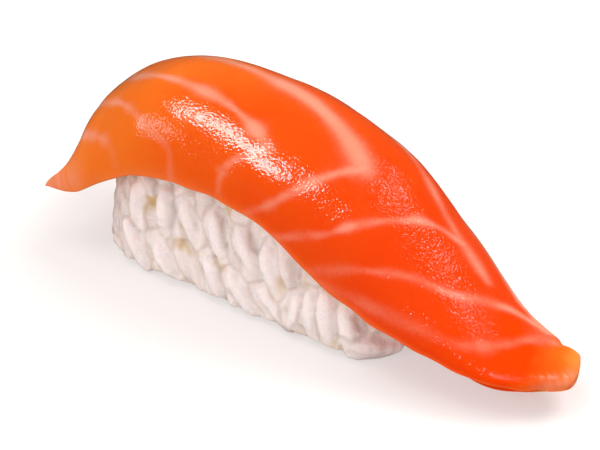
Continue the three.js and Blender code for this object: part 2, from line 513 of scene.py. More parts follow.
@dataclass(frozen=True)
class Drape:
    """The slice's form, in millimetres from a point near the middle of the rice's foot.

    Each row of stations is a cut across the slice, from its thin pointed end to its blunt end: the
    x, y and z of its near edge, then those of its far edge, then the height of its crest.
    """

    stations: tuple = (
        (-27.4, -13.0, 7.8, -35.4, 9.0, 5.8, 14.0),
        (-24.8, -13.3, 10.2, -28.5, 12.0, 10.5, 21.7),
        (-14.6, -13.3, 16.9, -18.0, 13.2, 15.6, 28.0),
        (-3.6, -13.4, 19.0, -4.9, 13.5, 18.6, 28.7),
        (7.8, -13.5, 17.9, 5.9, 13.4, 18.6, 26.6),
        (18.7, -13.2, 11.7, 16.8, 12.8, 14.6, 22.2),
        (29.7, -12.6, 8.0, 27.3, 10.6, 10.0, 14.8),
        (40.6, -11.0, 5.5, 37.5, 7.2, 5.2, 8.2),
        (46.7, -8.3, 4.7, 44.8, 4.5, 4.2, 6.5),
        (51.2, -4.6, 4.2, 47.8, 2.8, 4.0, 6.5),
    )
    shoulder_power: float = 2.3
    length: float = 95.0
    half_width: float = 20.0
    middle_thickness: float = 5.2
    side_thickness: float = 1.8
    thin_end_thickness: float = 0.8
    blunt_end_thickness: float = 3.6
    side_taper: float = 9.0
    thin_end_taper: float = 14.0
    blunt_end_taper: float = 25.0
    edge_radius: float = 0.4
    lip_reach: float = 4.0
    lip_lift: float = 0.6
    lip_across: float = 0.32
    lip_along: float = 0.06
    nose_reach: float = 2.0
    nose_along: float = 0.06
    wobbles: tuple = ((7.5, 0.2), (2.6, 0.035))
    swellings: tuple = (Dent(0.965, 0.2, 0.045, 0.6, 0.45), Dent(0.925, 0.8, 0.018, 0.4, -0.2))
    edge_bite: Dent = Dent(0.935, -0.9, 0.02, 0.3, 0.5)
    raggedness: float = 0.45
    rags: tuple = (23.0, 9.0, 3.1)
    rag_power: int = 8
    calm_end: float = 0.05

    def skin(self, u: np.ndarray, v: np.ndarray) -> np.ndarray:
        """Gives points on the outer skin.

        Args:
            u: fractions 0 to 1 along the slice.
            v: -1 to 1 from its near edge to its far edge.

        Returns:
            One row of x, y and z for each pair.
        """
        cut = through_points(np.array(self.stations), u)
        angle = v * math.pi / 2
        reach = np.sign(v) * np.abs(np.sin(angle)) ** (2 / self.shoulder_power)
        across = ((1 + reach) / 2)[:, None]
        points = cut[:, 0:3] * (1 - across) + cut[:, 3:6] * across
        points[:, 2] += (cut[:, 6] - (cut[:, 2] + cut[:, 5]) / 2) * np.cos(angle)
        lip = np.exp(-(((v + 1) / self.lip_across) ** 2) - (u / self.lip_along) ** 2)
        nose = np.exp(-(((1 - u) / self.nose_along) ** 2)) * (1 - v**2)
        points[:, 0] += self.nose_reach * nose - self.lip_reach * lip
        points[:, 2] += self.lip_lift * lip
        return points

    def hand_cut(self, u: np.ndarray, v: np.ndarray) -> np.ndarray:
        """Says how far a knife and soft flesh leave each point from the even skin.

        Args:
            u: fractions 0 to 1 along the slice.
            v: -1 to 1 across it.

        Returns:
            One row of x, y and z for each pair, in millimetres.
        """
        out = sum(dent.at(u, v) for dent in self.swellings)
        for length, height in self.wobbles:
            out = out + height * chance_at(self.skin(u, v), length)
        along, across, seed = self.rags
        rags = chance_at([(p * along, q * across, seed) for p, q in zip(u, np.sign(v))])
        cut = self.raggedness * rags * np.abs(v) ** self.rag_power
        sideways = (cut - self.edge_bite.at(u, v)) * np.sign(v)
        fade = smoothstep(u, self.calm_end)
        move = self.normal(u, v) * (out * fade)[:, None]
        move[:, 1] += sideways * fade
        return move

    def normal(self, u: np.ndarray, v: np.ndarray) -> np.ndarray:
        """Gives the skin's outward normals.

        Args:
            u: fractions 0 to 1 along the slice.
            v: -1 to 1 across it.

        Returns:
            One unit vector for each pair.
        """
        step = 1e-3
        inner = np.clip(v, 2 * step - 1, 1 - 2 * step)
        along = self.skin(np.minimum(u + step, 1), v) - self.skin(np.maximum(u - step, 0), v)
        across = self.skin(u, inner + step) - self.skin(u, inner - step)
        out = np.cross(along, across)
        return out / np.linalg.norm(out, axis=1)[:, None]

    def thickness(self, u: np.ndarray, v: np.ndarray) -> np.ndarray:
        """Gives the slice's thickness, thinning towards its edges and its pointed end.

        Args:
            u: fractions 0 to 1 along the slice.
            v: -1 to 1 across it.

        Returns:
            A thickness for each pair, in millimetres.
        """
        inwards = smoothstep((1 - np.abs(v)) * self.half_width, self.side_taper)
        thick = self.side_thickness + (self.middle_thickness - self.side_thickness) * inwards
        from_thin = smoothstep(u * self.length, self.thin_end_taper)
        thick = self.thin_end_thickness + (thick - self.thin_end_thickness) * from_thin
        from_blunt = smoothstep((1 - u) * self.length, self.blunt_end_taper)
        return self.blunt_end_thickness + (thick - self.blunt_end_thickness) * from_blunt

    def depth(self, u: np.ndarray, v: np.ndarray, under: np.ndarray) -> np.ndarray:
        """Says how far inside the skin each point of the two faces lies.

        Args:
            u: fractions 0 to 1 along the slice.
            v: -1 to 1 across it.
            under: true for a point of the lower face.

        Returns:
            A depth for each point, equal on both faces at the slice's rim.
        """
        from_end = np.minimum(u, 1 - u) * self.length
        from_side = (1 - np.abs(v)) * self.half_width
        upper = self.edge_radius * (1 - quarter_round(np.minimum(from_end, from_side), self.edge_radius))
        body = self.thickness(u, v) - self.edge_radius
        lower = self.edge_radius + body * quarter_round(from_end, body) * quarter_round(from_side, body)
        return np.where(under, lower, upper)


@dataclass(frozen=True)
class Seam:
    """A sheet of fat between two muscle blocks, where it meets the skin.

    Attributes:
        path: points it passes through, as fractions along and across the slice.
        width: how wide it is, in millimetres.
        strength: how pale it is at its start and at its end, from 0 to 1.
    """

    path: tuple
    width: float = 0.9
    strength: tuple = (0.8, 0.8)


SEAMS = (
    Seam(((0.0, -0.38), (0.08, -0.46), (0.14, -0.57), (0.18, -0.72), (0.20, -0.95)), 1.0, (1.0, 0.1)),
    Seam(((0.0, -0.08), (0.085, -0.18), (0.155, -0.31), (0.2, -0.45), (0.24, -0.6), (0.285, -0.71),
          (0.3, -1.0)), 0.9, (0.8, 0.35)),
    Seam(((0.0, 0.16), (0.11, 0.04), (0.19, -0.1), (0.26, -0.16), (0.33, -0.19), (0.39, -0.26),
          (0.42, -0.33))),
    Seam(((0.42, -0.33), (0.41, -0.44), (0.39, -0.56), (0.38, -0.68), (0.378, -0.8), (0.38, -1.0)),
         0.8, (0.8, 0.3)),
    Seam(((0.0, 0.42), (0.12, 0.32), (0.24, 0.23), (0.35, 0.2), (0.43, 0.17), (0.49, 0.09),
          (0.535, 0.0)), 1.4, (0.7, 0.95)),
    Seam(((0.535, 0.0), (0.515, -0.15), (0.497, -0.31), (0.485, -0.43), (0.472, -0.57),
          (0.455, -0.74), (0.42, -1.0)), 0.8, (0.9, 0.35)),
    Seam(((0.1, 0.72), (0.35, 0.68), (0.48, 0.6), (0.55, 0.51), (0.6, 0.41), (0.65, 0.33),
          (0.69, 0.28), (0.73, 0.27)), 1.0, (0.7, 0.5)),
    Seam(((0.68, 0.28), (0.642, 0.13), (0.61, -0.05), (0.577, -0.29), (0.559, -0.42), (0.541, -0.56),
          (0.51, -0.73), (0.47, -1.0)), 0.75, (0.8, 0.45)),
    Seam(((0.53, -0.95), (0.579, -0.68), (0.62, -0.48), (0.66, -0.29), (0.71, -0.11), (0.753, 0.12),
          (0.79, 0.35), (0.86, 0.6)), 0.8, (0.3, 0.75)),
    Seam(((0.86, 0.6), (0.78, 0.7), (0.65, 0.77), (0.5, 0.82), (0.3, 0.87)), 1.2, (0.9, 0.9)),
    Seam(((0.55, -0.98), (0.61, -0.83), (0.68, -0.69), (0.74, -0.53), (0.77, -0.37), (0.804, -0.16),
          (0.84, 0.06), (0.9, 0.4)), 1.1, (0.3, 0.45)),
    Seam(((0.93, -0.95), (0.955, -0.8), (0.98, -0.6), (1.0, -0.4)), 1.4, (0.3, 0.75)),
    Seam(((0.0, -1.0), (0.04, -0.93), (0.09, -0.88)), 3.4, (1.0, 0.5)),
)


@dataclass
class SalmonSlice:
    """The draped slice of raw salmon, one closed skin. Lengths are in millimetres.

    It starts as a flat sheet with a gap between its faces, which only keeps the two apart. A seam
    stands a little out of the skin, has a faint halo, and swells and fades along its steps.
    """

    drape: Drape
    middle: Vector
    cells_along: int = 330
    cells_across: int = 124
    sheet_gap: float = 0.5
    weld: float = 0.002
    crowding: float = 0.5
    seam_relief: float = 0.07
    halo_share: float = 0.2
    halo_widths: float = 3.0
    steps: int = 420
    uneven_width: float = 0.7
    uneven_strength: float = 0.6
    uneven_rate: tuple = (6.0, 9.0, 40.0)
    fade_shift: tuple = (0, 0, 7)
    rim_reach: float = 1.3
    rim_share: float = 0.6
    piece: bpy.types.Object = None

    def _crowded(self, place: np.ndarray) -> np.ndarray:
        """Draws evenly spread fractions together towards both ends."""
        return place - self.crowding * np.sin(2 * math.pi * place) / (2 * math.pi)

    def _seam_strength(self, points: np.ndarray) -> tuple[np.ndarray, np.ndarray]:
        """Finds how pale each point is for the seams near it.

        Args:
            points: places on the skin, in millimetres.

        Returns:
            The strength with its soft halo, and the strength of the line alone, both 0 to 1.
        """
        total, line = np.zeros(len(points)), np.zeros(len(points))
        place = np.linspace(0, 1, self.steps)
        by_start, along, by_end = self.uneven_rate
        for seam in SEAMS:
            path = through_points(np.array(seam.path), place)
            on_skin = self.drape.skin(np.clip(path[:, 0], 0, 1), np.clip(path[:, 1], -1, 1))
            tree = point_tree(on_skin)
            found = [tree.find(point)[1:] for point in points]
            nearest = np.array([index for index, _ in found])
            start, end = by_start * seam.path[0][1], by_end * seam.path[-1][0]
            at = [Vector((start, along * step, end)) for step in place]
            swell = 1 + self.uneven_width * chance_at(at)
            fade = 1 + self.uneven_strength * chance_at([point + Vector(self.fade_shift) for point in at])
            distance = np.array([gap for _, gap in found]) / (seam.width * swell[nearest])
            pale = np.clip(np.interp(place[nearest], (0, 1), seam.strength) * fade[nearest], 0, 1)
            line = np.maximum(line, pale * np.exp(-(distance**2)))
            halo = self.halo_share * pale * np.exp(-((distance / self.halo_widths) ** 2))
            total = 1 - (1 - total) * (1 - halo)
        return 1 - (1 - total) * (1 - line), line

    def build(self, finish: bpy.types.Material) -> bpy.types.Object:
        """Makes the slice.

        Args:
            finish: the flesh's material.

        Returns:
            The new piece.
        """
        bm = bmesh.new()
        bmesh.ops.create_grid(bm, x_segments=self.cells_along, y_segments=self.cells_across, size=1.0)
        bmesh.ops.solidify(bm, geom=bm.faces[:], thickness=self.sheet_gap)
        bm.verts.ensure_lookup_table()
        flat = np.array([vert.co for vert in bm.verts])
        under = np.abs(flat[:, 2]) > self.sheet_gap / 2
        u = self._crowded((flat[:, 0] + 1) / 2)
        v = 2 * self._crowded((flat[:, 1] + 1) / 2) - 1
        skin = self.drape.skin(u, v)
        fat, line = self._seam_strength(skin)
        depth = self.drape.depth(u, v, under) + self.seam_relief * line * ~under
        points = skin + self.drape.hand_cut(u, v) - self.drape.normal(u, v) * depth[:, None]
        from_end = np.minimum(u, 1 - u) * self.drape.length
        from_rim = np.minimum((1 - np.abs(v)) * self.drape.half_width, from_end)
        rim = self.rim_share * np.exp(-((from_rim / self.rim_reach) ** 2))
        layers = {name: bm.verts.layers.float.new(name) for name in ("along", "fat", "rim")}
        for i, vert in enumerate(bm.verts):
            vert.co = Vector(points[i]) * MM + self.middle
            vert[layers["along"]] = u[i]
            vert[layers["fat"]] = fat[i]
            vert[layers["rim"]] = rim[i]
        bmesh.ops.remove_doubles(bm, verts=bm.verts[:], dist=self.weld * MM)
        bmesh.ops.recalc_face_normals(bm, faces=bm.faces[:])
        self.piece = finished_piece("salmon_slice_skin", bm, finish)
        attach(self.piece, "root")
        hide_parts("salmon_slice")
        log.info("slice of salmon: %d faces", len(self.piece.data.polygons))
        return self.piece


# --- The rice ---------------------------------------------------------------------------------


@dataclass(frozen=True)
class PressedBlock:
    """The hand-pressed block's outline, in millimetres, with its foot on the floor."""

    length: float = 53.2
    width: float = 25.6
    corner: float = 10.0
    forward: float = 1.4
    foot_height: float = 2.4
    foot_inset: float = 0.7
    tuck_height: float = 24.0
    tuck_inset: float = 1.9

    def inset(self, height: np.ndarray) -> np.ndarray:
        """Says how far the wall draws in at a height, at its foot and under the slice."""
        foot = self.foot_inset * (1 - quarter_round(height, self.foot_height))
        return foot + self.tuck_inset * smoothstep(height, self.tuck_height)

    def outside(self, points: np.ndarray) -> tuple[np.ndarray, np.ndarray]:
        """Measures points against the wall.

        Args:
            points: rows of x, y and z.

        Returns:
            How far outside the wall each is, less than 0 inside, and the way out for each.
        """
        half = np.array([self.length / 2 - self.corner, self.width / 2 - self.corner])
        flat = points[:, :2] - [self.forward, 0]
        over = np.abs(flat) - half
        beyond = np.maximum(over, 0)
        length = np.linalg.norm(beyond, axis=1)
        straight = over[:, 0] > over[:, 1]
        inner = np.maximum(over[:, 0], over[:, 1])
        cornered = beyond / np.maximum(length, TINY)[:, None]
        sided = np.stack([straight, ~straight], 1).astype(float)
        out = np.where((length > TINY)[:, None], cornered, sided) * np.sign(flat)
        gap = np.where(length > TINY, length, inner) - self.corner + self.inset(points[:, 2])
        return gap, np.column_stack([out, np.zeros(len(points))])


class Lay(Enum):
    """How a grain lies: its lean from upright, and how far that lean varies, in degrees."""

    UPRIGHT = (13.0, 11.0)
    SLANTED = (36.0, 10.0)
    LYING = (84.0, 8.0)


@dataclass(frozen=True)
class LaidGrain:
    """A listed grain laid in the front wall.

    Attributes:
        x: how far along the block its middle is, in millimetres.
        z: the height of its middle.
        lean: its lean from upright, in degrees, towards the blunt end.
        proud: how far it stands out of the wall.
    """

    x: float
    z: float
    lean: float
    proud: float


FRONT_GRAINS = (
    LaidGrain(18.6, 5.9, -4.0, 0.6),
    LaidGrain(15.2, 5.3, -2.0, 0.15),
    LaidGrain(21.9, 4.8, -8.0, 0.1),
    LaidGrain(12.1, 4.0, 16.0, 0.2),
    LaidGrain(8.9, 2.9, -50.0, 0.05),
    LaidGrain(3.5, 3.5, -42.0, 0.15),
    LaidGrain(-1.6, 4.1, -20.0, 0.35),
    LaidGrain(-5.6, 3.9, -24.0, 0.0),
    LaidGrain(-10.0, 3.8, -36.0, -0.05),
    LaidGrain(-16.0, 4.1, -30.0, 0.25),
    LaidGrain(-15.8, 10.9, 5.0, 0.15),
    LaidGrain(-10.6, 11.6, 1.0, 0.05),
    LaidGrain(-6.0, 11.2, -20.0, 0.1),
    LaidGrain(-1.2, 10.7, -14.0, 0.1),
    LaidGrain(3.9, 10.4, -26.0, -0.05),
    LaidGrain(8.7, 9.6, -17.0, 0.05),
    LaidGrain(26.0, 2.3, -86.0, 0.2),
    LaidGrain(27.9, 1.7, -92.0, 0.1),
)


@dataclass
class Grains:
    """Where every grain lies, in millimetres, one row for each.

    Attributes:
        middle: the grains' middles.
        way: unit vectors along them.
        tone: how pale each is, from 0 to 1.
        held: whether each stays where it was laid from the list.
    """

    middle: np.ndarray
    way: np.ndarray
    tone: np.ndarray
    held: np.ndarray

    def beads(self, reach: float, count: int = SETTLING_BEADS) -> np.ndarray:
        """Gives evenly spaced points along each grain, out to a reach either side of its middle."""
        steps = np.linspace(-reach, reach, count)[None, :, None]
        return self.middle[:, None, :] + self.way[:, None, :] * steps


@dataclass
class RiceBlock:
    """The pressed block: cooked grains packed round a core, stuck together into one lump.

    Lengths are in millimetres. Grains vary in girth, length and bend. They stand round the wall in
    layers of rows, all with the same odds of lying each way and of leaning left or right, and lie in
    two beds. Settling pushes them apart for a number of rounds, and a remesh at the voxel's size
    sticks them together. The bed and ceiling values are a first place, a last and a pitch.
    """

    block: PressedBlock
    middle: Vector
    slice_piece: bpy.types.Object
    half_length: float = 4.2
    half_width: float = 1.7
    grain_sides: int = 8
    grain_rings: int = 6
    tip_power: float = 2.3
    side_power: float = 2.1
    flatness: float = 0.05
    bends: tuple = (-0.12, 0.0, 0.1, 0.2)
    girths: tuple = (0.84, 1.12)
    lengths: tuple = (0.74, 1.1)
    bead_reach: float = 2.7
    column_pitch: float = 3.3
    row_pitch: float = 6.7
    row_shift: float = 0.5
    rows: int = 3
    layers: int = 2
    fewer_inside: int = 5
    layer_pitch: float = 2.5
    turn_step: float = 3.0
    front_straight: float = 20.0
    corner_start: float = 0.5
    first_row: float = 3.6
    stagger: float = 2.6
    jitter: tuple = (0.22, 1.2, 0.2)
    lay_odds: tuple = (0.56, 0.3, 0.14)
    lean_odds: tuple = (0.62, 0.38)
    bed_x: tuple = (-24.0, 27.0, 5.6)
    bed_y: tuple = (-9.0, 9.5, 2.9)
    bed_jitter: tuple = (1.6, 0.7)
    bed_tilt: float = 0.1
    ceiling_x: tuple = (-32.0, 34.0, 1.0)
    ceiling_y: tuple = (-15.0, 16.0, 1.0)
    ceiling_outside: float = 14.0
    below: float = -5.0
    elbow_room: float = 1.7
    wall_clearance: float = 0.25
    roof_clearance: float = 0.15
    closeness: float = 0.86
    push_share: float = 0.28
    longest_push: float = 0.8
    rounds: int = 70
    never_zero: float = 1e-9
    core_shrink: float = 0.6
    core_weld: float = 0.01
    voxel: float = 0.31
    smoothing: int = 2
    smoothing_share: float = 0.5
    spine_beads: int = 9
    spine_inset: float = 0.8
    spare_beads: int = 3
    crease_depth: float = 0.13
    crease_width: float = 0.42
    crease_shade: float = 0.45
    roughening: tuple = (1.1, 0.09)
    foot_clearance: float = 0.04
    slice_clearance: float = 0.05
    full_depth: float = 3.0
    painted_salmon_light_reach: float = 1.2
    seed: int = 11
    piece: bpy.types.Object = None

    def _ceiling(self) -> tuple[np.ndarray, np.ndarray, np.ndarray]:
        """Finds the height of the slice's underside over a grid of places.

        Returns:
            The grid's x values, its y values and the heights, in millimetres.
        """
        tree = skin_tree(self.slice_piece)
        xs, ys = np.arange(*self.ceiling_x), np.arange(*self.ceiling_y)
        heights = np.full((len(xs), len(ys)), self.ceiling_outside)
        for i, x in enumerate(xs):
            for j, y in enumerate(ys):
                hit = tree.ray_cast(Vector((x, y, self.below)) * MM + self.middle, Vector((0, 0, 1)))[0]
                if hit is not None:
                    heights[i, j] = hit.z / MM
        return xs, ys, heights

    def _roof(self, ceiling: tuple, places: np.ndarray) -> np.ndarray:
        """Looks up the underside's height at each place.

        Args:
            ceiling: the grid's x values, its y values and the heights.
            places: rows that start with x and y.

        Returns:
            A height for each row.
        """
        xs, ys, heights = ceiling
        i = np.clip(np.round(places[:, 0] - xs[0]).astype(int), 0, len(xs) - 1)
        j = np.clip(np.round(places[:, 1] - ys[0]).astype(int), 0, len(ys) - 1)
        return heights[i, j]

    def _on_wall(
        self, x: float, y: float, z: float, depth: float, lean: float
    ) -> tuple[np.ndarray, np.ndarray]:
        """Stands a grain against the wall.

        Args:
            x: where it is along the block.
            y: where it is across the block.
            z: the height of its middle.
            depth: how far inside the wall its middle is.
            lean: its lean from upright along the wall, in radians.

        Returns:
            Its middle and its way.
        """
        start = np.array([[x, y, z]])
        gap, out = self.block.outside(start)
        way = np.cross([0, 0, 1], out[0]) * math.sin(lean) + np.array([0, 0, math.cos(lean)])
        return start[0] - out[0] * (gap[0] + depth), way

    def _front(self) -> list[tuple[np.ndarray, np.ndarray]]:
        """Stands the listed grains, and gives the middle and the way of each."""
        laid = []
        for g in FRONT_GRAINS:
            start = 1 if abs(g.x) < self.front_straight else self.corner_start
            y, depth = -self.block.width * start, self.half_width - g.proud
            laid.append(self._on_wall(g.x, y, g.z, depth, math.radians(g.lean)))
        return laid

    def _walls(self, rng: np.random.Generator) -> list[tuple[np.ndarray, np.ndarray]]:
        """Stands grains round the wall, in layers of rows.

        Args:
            rng: the source of chance.

        Returns:
            The middle and the way of each.
        """
        block = self.block
        turn = np.radians(np.arange(0, 360, self.turn_step) + self.turn_step / 2)
        round_ = np.column_stack([np.cos(turn), np.sin(turn)])
        half = np.array([block.length / 2 - block.corner, block.width / 2 - block.corner])
        ring = np.sign(round_) * half + block.corner * round_ + [block.forward, 0]
        closed = np.vstack([ring, ring[:1]])
        run = np.concatenate([[0], np.cumsum(np.linalg.norm(np.diff(closed, axis=0), axis=1))])
        along, up, outwards = self.jitter
        laid = []
        for layer in range(self.layers):
            depth = self.half_width + self.layer_pitch * layer
            columns = int(run[-1] / self.column_pitch) - self.fewer_inside * layer
            for column in range(columns):
                for row in range(self.rows):
                    place = column + self.row_shift * (row % 2) + rng.uniform(-along, along)
                    at = run[-1] * (place / columns % 1)
                    x, y = (np.interp(at, run, closed[:, k]) for k in (0, 1))
                    z = self.first_row + self.row_pitch * row + rng.uniform(-up, up)
                    z += self.stagger * (column % 2)
                    lay = rng.choice([Lay.UPRIGHT, Lay.SLANTED, Lay.LYING], p=self.lay_odds)
                    lean = math.radians(rng.normal(*lay.value)) * rng.choice([-1, 1], p=self.lean_odds)
                    middle, way = self._on_wall(x, y, z, depth, lean)
                    out = block.outside(middle[None])[1][0]
                    laid.append((middle, way + out * rng.normal(0, outwards)))
        return laid

    def _beds(self, rng: np.random.Generator, ceiling: tuple) -> list[tuple[np.ndarray, np.ndarray]]:
        """Lays one bed of grains on the floor and one under the slice.

        Args:
            rng: the source of chance.
            ceiling: the underside's heights.

        Returns:
            The middle and the way of each.
        """
        laid = []
        along, across = self.bed_jitter
        for roofed in (False, True):
            for x in np.arange(*self.bed_x):
                for y in np.arange(*self.bed_y):
                    shift = rng.uniform(-along, along), rng.uniform(-across, across)
                    place = np.array([x + shift[0], y + shift[1], self.half_width])
                    if roofed:
                        place[2] = self._roof(ceiling, place[None])[0] - self.half_width - self.roof_clearance
                    turn, tilt = rng.uniform(0, math.pi), rng.normal(0, self.bed_tilt)
                    laid.append((place, np.array([math.cos(turn), math.sin(turn), tilt])))
        return laid

    def _place(self, rng: np.random.Generator, ceiling: tuple) -> Grains:
        """Lays every grain, still unsettled.

        Args:
            rng: the source of chance.
            ceiling: the underside's heights.

        Returns:
            The grains, without those that would stand in the slice or through a listed one.
        """
        front = self._front()
        laid = [*front, *self._walls(rng), *self._beds(rng, ceiling)]
        middle, way = (np.array(rows) for rows in zip(*laid))
        way /= np.linalg.norm(way, axis=1)[:, None]
        held = np.arange(len(middle)) < len(front)
        tone = np.where(held, 1.0, rng.uniform(0, 1, len(middle)))
        grains = Grains(middle, way, tone, held)
        taken = grains.beads(self.bead_reach)[held].reshape(-1, 3)
        nearest = np.linalg.norm(middle[:, None] - taken[None], axis=2).min(1)
        fits = middle[:, 2] < self._roof(ceiling, middle) - self.half_width / 2
        keep = held | (fits & (nearest > self.elbow_room))
        return Grains(middle[keep], way[keep], tone[keep], held[keep])

    def _settle(self, grains: Grains, ceiling: tuple) -> None:
        """Pushes grains apart, and back inside the wall, the floor and the slice.

        Args:
            grains: the grains, which are moved.
            ceiling: the underside's heights.
        """
        count = len(grains.middle)
        owner = np.repeat(np.arange(count), SETTLING_BEADS)
        others = owner[:, None] != owner[None, :]
        apart = 2 * self.half_width * self.closeness
        for _ in range(self.rounds):
            beads = grains.beads(self.bead_reach).reshape(-1, 3)
            between = beads[:, None, :] - beads[None, :, :]
            distance = np.sqrt((between**2).sum(2)) + self.never_zero
            push = np.where((distance < apart) & others, (apart - distance) / distance, 0)
            move = self.push_share * (between * push[:, :, None]).sum(1)
            gap, out = self.block.outside(beads)
            move -= out * np.maximum(gap + self.half_width + self.wall_clearance, 0)[:, None]
            move[:, 2] += np.maximum(self.half_width - beads[:, 2], 0)
            over = beads[:, 2] + self.half_width + self.roof_clearance - self._roof(ceiling, beads)
            move[:, 2] -= np.maximum(over, 0)
            move[grains.held[owner]] = 0
            beads += np.clip(move, -self.longest_push, self.longest_push)
            moved = beads.reshape(count, SETTLING_BEADS, 3)
            grains.middle = moved.mean(1)
            way = moved[:, -1] - moved[:, 0]
            grains.way = way / np.linalg.norm(way, axis=1)[:, None]

    def _grain_mesh(self, bend: float) -> bpy.types.Mesh:
        """Makes one plump grain along z.

        Args:
            bend: how far it bows, as a share of its half length.

        Returns:
            The grain's mesh, in millimetres.
        """
        bm = bmesh.new()
        bmesh.ops.create_uvsphere(bm, u_segments=self.grain_sides, v_segments=self.grain_rings, radius=1.0)
        for vert in bm.verts:
            x, y, z = vert.co
            waist = math.hypot(x, y)
            girth = (1 - min(abs(z), 1) ** self.tip_power) ** (1 / self.side_power)
            plump = girth / waist if waist > TINY else 0
            vert.co = (
                x * plump * self.half_width * (1 - self.flatness) + bend * self.half_length * (1 - z * z),
                y * plump * self.half_width * (1 + self.flatness),
                z * self.half_length,
            )
        return mesh_of("grain", bm)

    def _core(self) -> bpy.types.Mesh:
        """Makes the lump inside the grains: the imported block, drawn in on every side.

        Returns:
            The core's mesh, in millimetres.
        """
        bm = bmesh.new()
        bm.from_mesh(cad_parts["rice_block"].data)
        bmesh.ops.remove_doubles(bm, verts=bm.verts[:], dist=self.core_weld * MM)
        to_mm = Matrix.Scale(1 / MM, 4) @ Matrix.Translation(-self.middle)
        bmesh.ops.transform(bm, matrix=to_mm, verts=bm.verts[:])
        bmesh.ops.recalc_face_normals(bm, faces=bm.faces[:])
        bm.normal_update()
        for vert in bm.verts:
            vert.co -= vert.normal * self.core_shrink
        return mesh_of("core", bm)

    def _stuck_together(self, bm: bmesh.types.BMesh, finish: bpy.types.Material) -> bpy.types.Object:
        """Fuses the grains and the core into one skin.

        Args:
            bm: the loose grains and the core, in millimetres, which is freed.
            finish: the rice's material.

        Returns:
            The new piece, without cavities inside it.
        """
        loose = finished_piece("rice_loose", bm, finish)
        fuse = loose.modifiers.new("fuse", "REMESH")
        fuse.mode, fuse.voxel_size = "VOXEL", self.voxel
        fused = bpy.data.meshes.new_from_object(loose.evaluated_get(bpy.context.evaluated_depsgraph_get()))
        bpy.data.meshes.remove(loose.data)
        skin = bmesh.new()
        skin.from_mesh(fused)
        bpy.data.meshes.remove(fused)
        self._keep_largest(skin)
        every_way = {f"use_axis_{axis}": True for axis in "xyz"}
        for _ in range(self.smoothing):
            bmesh.ops.smooth_vert(skin, verts=skin.verts[:], factor=self.smoothing_share, **every_way)
        to_metres = Matrix.Translation(self.middle) @ Matrix.Scale(MM, 4)
        bmesh.ops.transform(skin, matrix=to_metres, verts=skin.verts[:])
        bmesh.ops.recalc_face_normals(skin, faces=skin.faces[:])
        return finished_piece("rice_block_grains", skin, finish)

    def _keep_largest(self, bm: bmesh.types.BMesh) -> None:
        """Deletes every separate shell but the one with the most points.

        Args:
            bm: the shells, which are changed.
        """
        left, shells = set(bm.verts), []
        while left:
            front = {left.pop()}
            shell = set(front)
            while front:
                front = {edge.other_vert(vert) for vert in front for edge in vert.link_edges} - shell
                shell |= front
            left -= shell
            shells.append(shell)
        spare = set(bm.verts) - max(shells, key=len)
        bmesh.ops.delete(bm, geom=list(spare), context="VERTS")

    def _marks(self, grains: Grains, points: np.ndarray) -> tuple[np.ndarray, np.ndarray]:
        """Finds which grain each point belongs to, and how near it is to the next one.

        Args:
            grains: the settled grains.
            points: rows of x, y and z on the rice, in millimetres.

        Returns:
            Each point's tone, and its crease: 1 midway between two grains, 0 well inside one.
        """
        beads = self.spine_beads
        reach = self.half_length - self.half_width * self.spine_inset
        tree = point_tree(grains.beads(reach, beads).reshape(-1, 3))
        tone, crease_and_shade = np.zeros(len(points)), np.zeros(len(points))
        for i, point in enumerate(points):
            found = tree.find_n(point, beads + self.spare_beads)
            own = found[0][1] // beads
            other = next(distance for _, index, distance in found if index // beads != own)
            tone[i] = grains.tone[own]
            crease_and_shade[i] = math.exp(-(((other - found[0][2]) / self.crease_width) ** 2))
        return tone, crease_and_shade

    def _dress(self, grains: Grains) -> None:
        """Sinks the creases, flattens what meets the slice, and stores what the finish reads at each point.

        Args:
            grains: the settled grains.
        """
        mesh = self.piece.data
        points = np.array([vert.co for vert in mesh.vertices])
        normals = np.array([vert.normal for vert in mesh.vertices])
        local = (points - np.array(self.middle)) / MM
        tone, crease_and_shade = self._marks(grains, local)
        depth = np.clip(-self.block.outside(local)[0] / self.full_depth, 0, 1)
        length, height = self.roughening
        rough = height * chance_at(local, length)
        points += normals * ((rough - self.crease_depth * crease_and_shade) * MM)[:, None]
        salmon = skin_tree(self.slice_piece)
        for point in points:
            hit, out = salmon.ray_cast(Vector(point), Vector((0, 0, -1)))[:2]
            if hit is not None and out.z < 0:
                point[2] = hit.z - self.slice_clearance * MM
        points[:, 2] = np.maximum(points[:, 2], self.foot_clearance * MM)
        mesh.vertices.foreach_set("co", points.ravel())
        mesh.update()
        near = np.array([salmon.find_nearest(Vector(point))[3] / MM for point in points])
        # The finish reads each grain's tone, the painted shade of the creases and deep gaps, and painted
        # orange light from the salmon, stronger nearer the slice.
        marks = {
            "tone": tone,
            "crease_and_shade": crease_and_shade * self.crease_shade,
            "depth": depth,
            "painted_salmon_light": np.exp(-near / self.painted_salmon_light_reach),
        }
        for name, values in marks.items():
            layer = mesh.attributes.new(name, "FLOAT", "POINT")
            layer.data.foreach_set("value", values.astype(np.float32))

